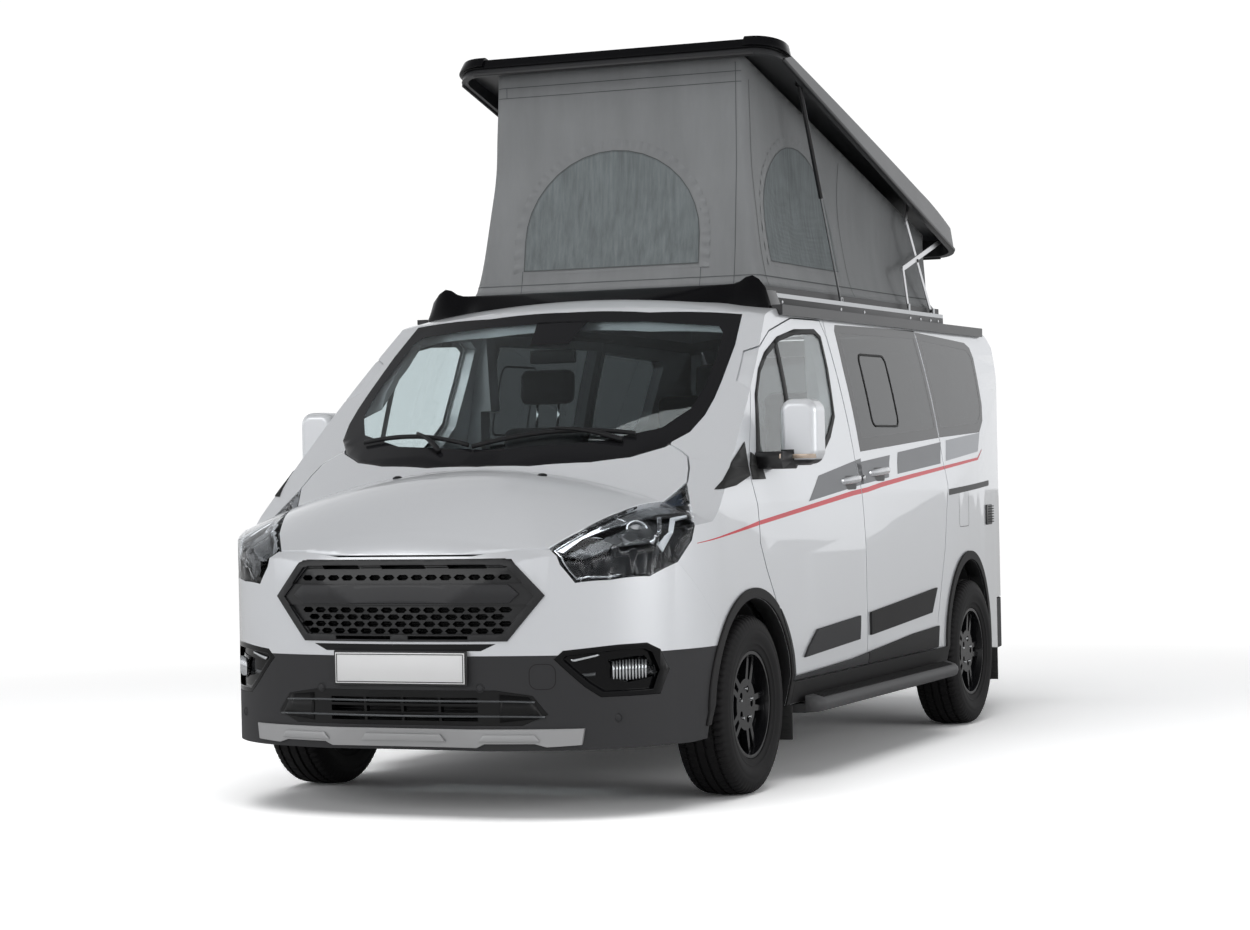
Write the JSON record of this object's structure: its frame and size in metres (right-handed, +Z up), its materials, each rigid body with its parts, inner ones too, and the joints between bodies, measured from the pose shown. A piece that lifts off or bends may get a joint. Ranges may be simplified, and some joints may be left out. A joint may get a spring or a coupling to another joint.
{
  "type": "camper van with raised pop-up roof",
  "caption": "Mid-size panel van fitted out as a camper, with a rear-pivoted pop-up roof raised over a fabric tent, opening doors, bonnet and tailgate, and steered front wheels.",
  "frame": {"origin": "on the road under the middle of the van: halfway between the bumper faces, on the centre plane", "axes": "+Z up, nose towards -Y, +X towards the driver (left-hand) side"},
  "size_m": [2.272, 4.9733, 3.0052],
  "materials": {
    "silver_paint": "silver metallic clear-coated paint",
    "grey_cladding": "grained dark grey plastic",
    "black_plastic": "gloss black plastic",
    "black_grille": "satin black plastic",
    "clear_glass": "clear laminated glass",
    "tinted_glass": "dark tinted glass",
    "lamp_lens": "clear lamp lens over chromed bowls",
    "red_lens": "red lamp lens",
    "tyre_rubber": "treaded rubber",
    "black_alloy": "gloss black cast wheel",
    "cast_steel": "bare cast steel",
    "chassis_steel": "black chassis paint",
    "roof_plastic": "dark grey moulded roof shell",
    "tent_cloth": "grey woven tent fabric",
    "silver_rail": "anodised aluminium",
    "black_rail": "black anodised aluminium",
    "bar_steel": "plated steel bars",
    "strut_black": "black enamelled gas strut",
    "rod_chrome": "chromed rod",
    "seat_cloth": "dark seat fabric",
    "cab_plastic": "grained cab plastic",
    "cabinet_board": "pale laminated board",
    "silver_skid": "satin silver skid trim"
  },
  "bodies": {
    "van": {"awning_rails": "black_rail", "base_rails": "silver_rail", "body_side_left": "silver_paint", "body_side_right": "silver_paint", "dashboard": "cab_plastic", "engine_block": "cast_steel", "floor_pan": "chassis_steel", "fog_lamps": "lamp_lens", "front_arch_trims": "grey_cladding", "front_bumper": "silver_paint", "front_seats": "seat_cloth", "front_suspension": "chassis_steel", "grille": "black_grille", "headlamps": "lamp_lens", "intake_grille": "black_grille", "kitchen_unit": "cabinet_board", "lower_bumper": "grey_cladding", "rear_arch_trims": "grey_cladding", "rear_axle": "chassis_steel", "rear_bench": "seat_cloth", "rear_bumper": "grey_cladding", "roof_fairing": "black_plastic", "roof_frame": "black_plastic", "roof_panel": "silver_paint", "running_boards": "grey_cladding", "side_glass": "tinted_glass", "skid_trim": "silver_skid", "sliding_doors": "silver_paint", "tail_lamps": "red_lens", "tent": "tent_cloth", "windscreen": "clear_glass", "wings": "silver_paint"},
    "door_left": {"door_left": "silver_paint", "door_glass_left": "clear_glass", "mirror_left": "silver_paint", "door_trim_left": "grey_cladding"},
    "door_right": {"door_right": "silver_paint", "door_glass_right": "clear_glass", "mirror_right": "silver_paint", "door_trim_right": "grey_cladding"},
    "bonnet": {"bonnet": "silver_paint"},
    "tailgate": {"tailgate": "silver_paint", "tailgate_glass": "tinted_glass"},
    "roof": {"roof_shell": "roof_plastic"},
    "scissor_base_bars": {"scissor_base_bars": "bar_steel"},
    "scissor_roof_bars": {"scissor_roof_bars": "bar_steel"},
    "scissor_base_links": {"scissor_base_links": "bar_steel"},
    "scissor_roof_links": {"scissor_roof_links": "bar_steel"},
    "strut_cylinders": {"strut_cylinders": "strut_black"},
    "strut_rods": {"strut_rods": "rod_chrome"},
    "knuckle_left": {"knuckle_left": "cast_steel"},
    "knuckle_right": {"knuckle_right": "cast_steel"},
    "wheel_front_left": {"tyre_front_left": "tyre_rubber", "rim_front_left": "black_alloy"},
    "wheel_front_right": {"tyre_front_right": "tyre_rubber", "rim_front_right": "black_alloy"},
    "wheel_rear_left": {"tyre_rear_left": "tyre_rubber", "rim_rear_left": "black_alloy"},
    "wheel_rear_right": {"tyre_rear_right": "tyre_rubber", "rim_rear_right": "black_alloy"}
  },
  "joints": [
    {"name": "roof_lift", "type": "hinge", "parent": "van", "child": "roof", "pos_m": [0, 3.117, 1.81], "axis": [1, 0, 0], "range_deg": [0, 15.07], "deforming": ["tent"]},
    {"name": "scissor_base_turn", "type": "hinge", "parent": "van", "child": "scissor_base_bars", "pos_m": [0, 1.785, 1.968], "axis": [1, 0, 0], "range_deg": [0, 45.03]},
    {"name": "scissor_roof_turn", "type": "hinge", "parent": "roof", "child": "scissor_roof_bars", "pos_m": [0, 1.985, 2.326], "axis": [1, 0, 0], "range_deg": [-26.76, 0]},
    {"name": "base_link_turn", "type": "hinge", "parent": "van", "child": "scissor_base_links", "pos_m": [0, 1.39373, 1.975], "axis": [1, 0, 0], "range_deg": [0, 69.65]},
    {"name": "roof_link_turn", "type": "hinge", "parent": "roof", "child": "scissor_roof_links", "pos_m": [0, 1.475, 2.477], "axis": [1, 0, 0], "range_deg": [-66.88, 0]},
    {"name": "strut_turn", "type": "hinge", "parent": "roof", "child": "strut_cylinders", "pos_m": [0, -0.064, 2.863], "axis": [1, 0, 0], "range_deg": [0, 43.51]},
    {"name": "strut_stroke", "type": "slide", "parent": "strut_cylinders", "child": "strut_rods", "axis": [0, 0.4721, -0.8815], "range_m": [-0.3736, 0]},
    {"name": "door_left_swing", "type": "hinge", "parent": "van", "child": "door_left", "pos_m": [0.972, -1.392, 0], "axis": [0, 0, 1], "range_deg": [-68, 0]},
    {"name": "door_right_swing", "type": "hinge", "parent": "van", "child": "door_right", "pos_m": [-0.972, -1.392, 0], "axis": [0, 0, 1], "range_deg": [0, 68]},
    {"name": "bonnet_lift", "type": "hinge", "parent": "van", "child": "bonnet", "pos_m": [0, -1.548, 1.338], "axis": [-1, 0, 0], "range_deg": [0, 52]},
    {"name": "tailgate_lift", "type": "hinge", "parent": "van", "child": "tailgate", "pos_m": [0, 2.38, 1.871], "axis": [1, 0, 0], "range_deg": [0, 84]},
    {"name": "steer_left", "type": "hinge", "parent": "van", "child": "knuckle_left", "pos_m": [0.79, -1.4685, 0.34], "axis": [0, 0, 1], "range_deg": [-35, 35]},
    {"name": "steer_right", "type": "hinge", "parent": "van", "child": "knuckle_right", "pos_m": [-0.79, -1.4685, 0.34], "axis": [0, 0, 1], "range_deg": [-35, 35]},
    {"name": "wheel_spin_front_left", "type": "hinge", "parent": "knuckle_left", "child": "wheel_front_left", "pos_m": [0.868, -1.4685, 0.34], "axis": [1, 0, 0], "continuous": true},
    {"name": "wheel_spin_front_right", "type": "hinge", "parent": "knuckle_right", "child": "wheel_front_right", "pos_m": [-0.868, -1.4685, 0.34], "axis": [1, 0, 0], "continuous": true},
    {"name": "wheel_spin_rear_left", "type": "hinge", "parent": "van", "child": "wheel_rear_left", "pos_m": [0.868, 1.4645, 0.34], "axis": [1, 0, 0], "continuous": true},
    {"name": "wheel_spin_rear_right", "type": "hinge", "parent": "van", "child": "wheel_rear_right", "pos_m": [-0.868, 1.4645, 0.34], "axis": [1, 0, 0], "continuous": true}
  ],
  "couplings": [
    {"joint": "scissor_base_turn", "follows": "roof_lift", "ratio": 2.9883},
    {"joint": "scissor_roof_turn", "follows": "roof_lift", "ratio": -1.7758},
    {"joint": "base_link_turn", "follows": "roof_lift", "ratio": 4.6216},
    {"joint": "roof_link_turn", "follows": "roof_lift", "ratio": -4.4381},
    {"joint": "strut_turn", "follows": "roof_lift", "ratio": 2.8869},
    {"joint": "strut_stroke", "follows": "roof_lift", "m_per_rad": -1.4201},
    {"joint": "steer_right", "follows": "steer_left", "ratio": 1}
  ]
}
